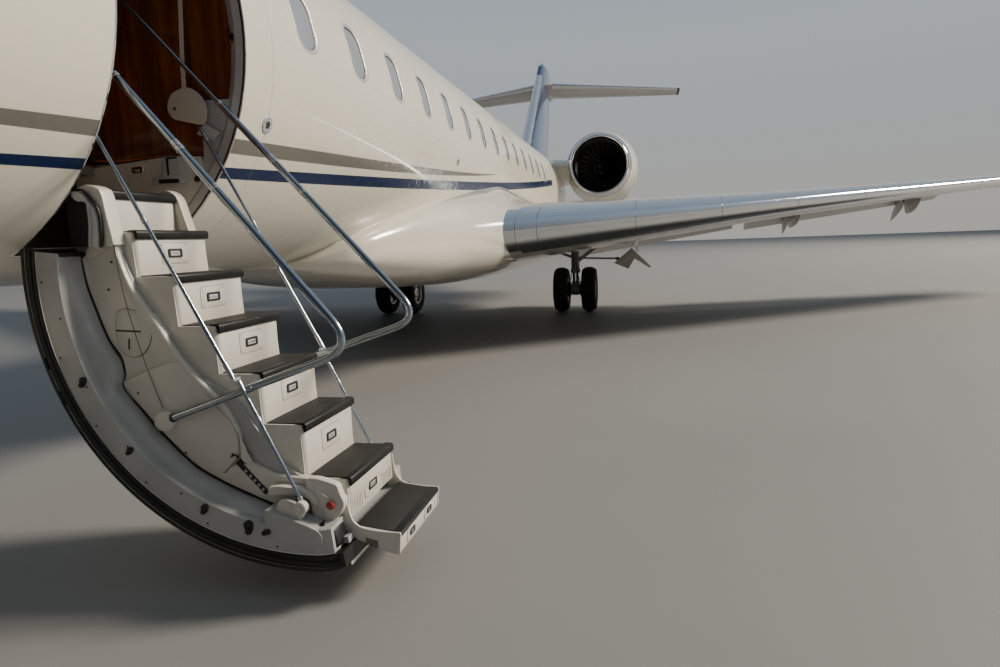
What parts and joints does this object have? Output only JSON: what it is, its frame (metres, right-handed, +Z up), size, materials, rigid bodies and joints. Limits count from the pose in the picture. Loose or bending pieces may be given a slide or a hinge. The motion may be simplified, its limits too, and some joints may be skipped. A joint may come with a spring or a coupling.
{
  "type": "large-cabin business jet",
  "caption": "Twin-jet business aircraft on its gear: swept wing with winglets, T-tail, rear engines, lowered flaps and an airstair door let down with its handrails.",
  "frame": {"origin": "on the ground under the middle of the aircraft's box, standing on its wheels with the airstair down", "axes": "+X towards the nose, +Y to port (the airstair's side), +Z up"},
  "size_m": [30.3, 28.6956, 7.77],
  "materials": {
    "cream_paint": "gloss",
    "cream_composite": "gloss",
    "polished_metal": "polished",
    "blue_paint": "gloss",
    "blue_composite": "gloss",
    "cockpit_glass": "polished",
    "wood_veneer": "gloss",
    "white_moulding": "satin",
    "door_structure": "satin",
    "gear_alloy": "satin",
    "bright_steel": "polished",
    "dark_metal": "satin",
    "tyre_rubber": "matte",
    "carpet": "matte"
  },
  "bodies": {
    "airframe": {"nose_section": "cream_paint", "cockpit_glazing": "cockpit_glass", "forward_fuselage": "cream_paint", "cabin_fuselage": "cream_paint", "aft_fuselage": "cream_paint", "cabin_floor": "carpet", "entrance_panels": "wood_veneer", "belly_fairing": "cream_paint", "wing_left": "cream_paint", "wing_right": "cream_paint", "fin": "blue_paint", "stabiliser": "cream_composite", "nacelle_left": "cream_composite", "nacelle_right": "cream_composite", "engine_left": "dark_metal", "engine_right": "dark_metal", "pylon_left": "cream_composite", "pylon_right": "cream_composite", "nose_gear_leg": "gear_alloy", "nose_gear_door_left": "cream_paint", "nose_gear_door_right": "cream_paint", "main_gear_leg_left": "gear_alloy", "main_gear_leg_right": "gear_alloy", "main_gear_door_left": "cream_paint", "main_gear_door_right": "cream_paint"},
    "airstair": {"airstair_shell": "door_structure", "airstair_steps": "white_moulding"},
    "lower_step": {"foldout_step": "white_moulding"},
    "handrail_forward": {"handrail_forward": "bright_steel"},
    "handrail_aft": {"handrail_aft": "bright_steel"},
    "handrail_slider_forward": {"handrail_slider_forward": "bright_steel"},
    "handrail_slider_aft": {"handrail_slider_aft": "bright_steel"},
    "strut_upper_forward": {"strut_upper_forward": "bright_steel"},
    "strut_upper_aft": {"strut_upper_aft": "bright_steel"},
    "strut_lower_forward": {"strut_lower_forward": "bright_steel"},
    "strut_lower_aft": {"strut_lower_aft": "bright_steel"},
    "slat_left": {"slat_left": "polished_metal"},
    "slat_right": {"slat_right": "polished_metal"},
    "flap_inboard_left": {"flap_inboard_left": "cream_paint"},
    "flap_inboard_right": {"flap_inboard_right": "cream_paint"},
    "flap_outboard_left": {"flap_outboard_left": "cream_paint"},
    "flap_outboard_right": {"flap_outboard_right": "cream_paint"},
    "aileron_left": {"aileron_left": "cream_paint"},
    "aileron_right": {"aileron_right": "cream_paint"},
    "rudder": {"rudder": "blue_composite"},
    "elevator_left": {"elevator_left": "cream_composite"},
    "elevator_right": {"elevator_right": "cream_composite"},
    "fan_left": {"fan_left": "dark_metal"},
    "fan_right": {"fan_right": "dark_metal"},
    "nose_steering": {"nose_gear_steering": "bright_steel"},
    "nose_wheels": {"nose_wheels": "tyre_rubber"},
    "main_wheels_left": {"main_wheels_left": "tyre_rubber"},
    "main_wheels_right": {"main_wheels_right": "tyre_rubber"}
  },
  "joints": [
    {"name": "airstair_hinge", "type": "hinge", "parent": "airframe", "child": "airstair", "pos_m": [10, 0.667, 1.629], "axis": [1, 0, 0], "range_deg": [0, 126.6]},
    {"name": "lower_step_hinge", "type": "hinge", "parent": "airstair", "child": "lower_step", "pos_m": [10, 2.19, 0.352], "axis": [1, 0, 0], "range_deg": [0, 76]},
    {"name": "handrail_forward_pivot", "type": "hinge", "parent": "airstair", "child": "handrail_forward", "pos_m": [10.355, 1.25, 0.8], "axis": [-1, 0, 0], "range_deg": [0, 30]},
    {"name": "handrail_aft_pivot", "type": "hinge", "parent": "airstair", "child": "handrail_aft", "pos_m": [9.625, 1.31, 0.872], "axis": [-1, 0, 0], "range_deg": [0, 30]},
    {"name": "handrail_forward_slide", "type": "slide", "parent": "handrail_forward", "child": "handrail_slider_forward", "axis": [0, 0.6552, -0.7555], "range_m": [0, 0.85]},
    {"name": "handrail_aft_slide", "type": "slide", "parent": "handrail_aft", "child": "handrail_slider_aft", "axis": [0, 0.6767, -0.7363], "range_m": [0, 0.85]},
    {"name": "strut_upper_forward_pivot", "type": "hinge", "parent": "airframe", "child": "strut_upper_forward", "pos_m": [10.428, 1.03, 2.285], "axis": [1, 0, 0], "range_deg": [0, 187.7]},
    {"name": "strut_upper_aft_pivot", "type": "hinge", "parent": "airframe", "child": "strut_upper_aft", "pos_m": [9.555, 1.03, 2.285], "axis": [1, 0, 0], "range_deg": [0, 187.7]},
    {"name": "strut_lower_forward_pivot", "type": "hinge", "parent": "airstair", "child": "strut_lower_forward", "pos_m": [10.402, 1.97, 0.435], "axis": [-1, 0, 0], "range_deg": [0, 68.2]},
    {"name": "strut_lower_aft_pivot", "type": "hinge", "parent": "airstair", "child": "strut_lower_aft", "pos_m": [9.58, 1.97, 0.435], "axis": [-1, 0, 0], "range_deg": [0, 68.2]},
    {"name": "slat_left_slide", "type": "slide", "parent": "airframe", "child": "slat_left", "axis": [0.79, 0.593, -0.156], "range_m": [0, 0.15]},
    {"name": "slat_right_slide", "type": "slide", "parent": "airframe", "child": "slat_right", "axis": [0.79, -0.593, -0.156], "range_m": [0, 0.15]},
    {"name": "flap_inboard_left_hinge", "type": "hinge", "parent": "airframe", "child": "flap_inboard_left", "pos_m": [-2.2127, 1.76, 1.4631], "axis": [-0.1214, 0.9893, 0.0811], "range_deg": [0, 24]},
    {"name": "flap_inboard_right_hinge", "type": "hinge", "parent": "airframe", "child": "flap_inboard_right", "pos_m": [-2.2127, -1.76, 1.4631], "axis": [0.1214, 0.9893, -0.0811], "range_deg": [0, 24]},
    {"name": "flap_outboard_left_hinge", "type": "hinge", "parent": "airframe", "child": "flap_outboard_left", "pos_m": [-2.4271, 5.62, 1.8496], "axis": [-0.4064, 0.9106, 0.0747], "range_deg": [0, 24]},
    {"name": "flap_outboard_right_hinge", "type": "hinge", "parent": "airframe", "child": "flap_outboard_right", "pos_m": [-2.4271, -5.62, 1.8496], "axis": [0.4064, 0.9106, -0.0747], "range_deg": [0, 24]},
    {"name": "aileron_left_hinge", "type": "hinge", "parent": "airframe", "child": "aileron_left", "pos_m": [-4.4846, 10.38, 2.44], "axis": [-0.4001, 0.9134, 0.0749], "range_deg": [-20, 20]},
    {"name": "aileron_right_hinge", "type": "hinge", "parent": "airframe", "child": "aileron_right", "pos_m": [-4.4846, -10.38, 2.44], "axis": [0.4001, 0.9134, -0.0749], "range_deg": [-20, 20]},
    {"name": "rudder_hinge", "type": "hinge", "parent": "airframe", "child": "rudder", "pos_m": [-10.6785, 0, 4.05], "axis": [-0.5608, 0, 0.8279], "range_deg": [-25, 25]},
    {"name": "elevator_left_hinge", "type": "hinge", "parent": "airframe", "child": "elevator_left", "pos_m": [-13.3449, 0.33, 6.98], "axis": [-0.3056, 0.9522, 0], "range_deg": [-15, 25]},
    {"name": "elevator_right_hinge", "type": "hinge", "parent": "airframe", "child": "elevator_right", "pos_m": [-13.3449, -0.33, 6.98], "axis": [0.3056, 0.9522, 0], "range_deg": [-15, 25]},
    {"name": "fan_left_spin", "type": "hinge", "parent": "airframe", "child": "fan_left", "pos_m": [-5.79, 2.37, 3.47], "axis": [1, 0, 0], "continuous": true},
    {"name": "fan_right_spin", "type": "hinge", "parent": "airframe", "child": "fan_right", "pos_m": [-5.79, -2.37, 3.47], "axis": [1, 0, 0], "continuous": true},
    {"name": "nose_steering_pivot", "type": "hinge", "parent": "airframe", "child": "nose_steering", "pos_m": [11.08, 0, 0.8], "axis": [0, 0, 1], "range_deg": [-60, 60]},
    {"name": "nose_wheels_spin", "type": "hinge", "parent": "nose_steering", "child": "nose_wheels", "pos_m": [11.08, 0, 0.2665], "axis": [0, 1, 0], "continuous": true},
    {"name": "main_wheels_left_spin", "type": "hinge", "parent": "airframe", "child": "main_wheels_left", "pos_m": [-1.7, 2.03, 0.4825], "axis": [0, 1, 0], "continuous": true},
    {"name": "main_wheels_right_spin", "type": "hinge", "parent": "airframe", "child": "main_wheels_right", "pos_m": [-1.7, -2.03, 0.4825], "axis": [0, 1, 0], "continuous": true}
  ],
  "couplings": [
    {"joint": "lower_step_hinge", "follows": "airstair_hinge", "ratio": 0.6},
    {"joint": "handrail_forward_pivot", "follows": "airstair_hinge", "ratio": 0.2369},
    {"joint": "handrail_forward_slide", "follows": "airstair_hinge", "m_per_rad": 0.3846},
    {"joint": "strut_upper_forward_pivot", "follows": "airstair_hinge", "ratio": 1.4824},
    {"joint": "strut_lower_forward_pivot", "follows": "airstair_hinge", "ratio": 0.5387},
    {"joint": "handrail_aft_pivot", "follows": "airstair_hinge", "ratio": 0.2369},
    {"joint": "handrail_aft_slide", "follows": "airstair_hinge", "m_per_rad": 0.3846},
    {"joint": "strut_upper_aft_pivot", "follows": "airstair_hinge", "ratio": 1.4824},
    {"joint": "strut_lower_aft_pivot", "follows": "airstair_hinge", "ratio": 0.5387},
    {"joint": "elevator_right_hinge", "follows": "elevator_left_hinge", "ratio": 1},
    {"joint": "slat_right_slide", "follows": "slat_left_slide", "ratio": 1},
    {"joint": "aileron_right_hinge", "follows": "aileron_left_hinge", "ratio": -1},
    {"joint": "flap_inboard_right_hinge", "follows": "flap_inboard_left_hinge", "ratio": 1},
    {"joint": "flap_outboard_left_hinge", "follows": "flap_inboard_left_hinge", "ratio": 1},
    {"joint": "flap_outboard_right_hinge", "follows": "flap_inboard_left_hinge", "ratio": 1}
  ]
}
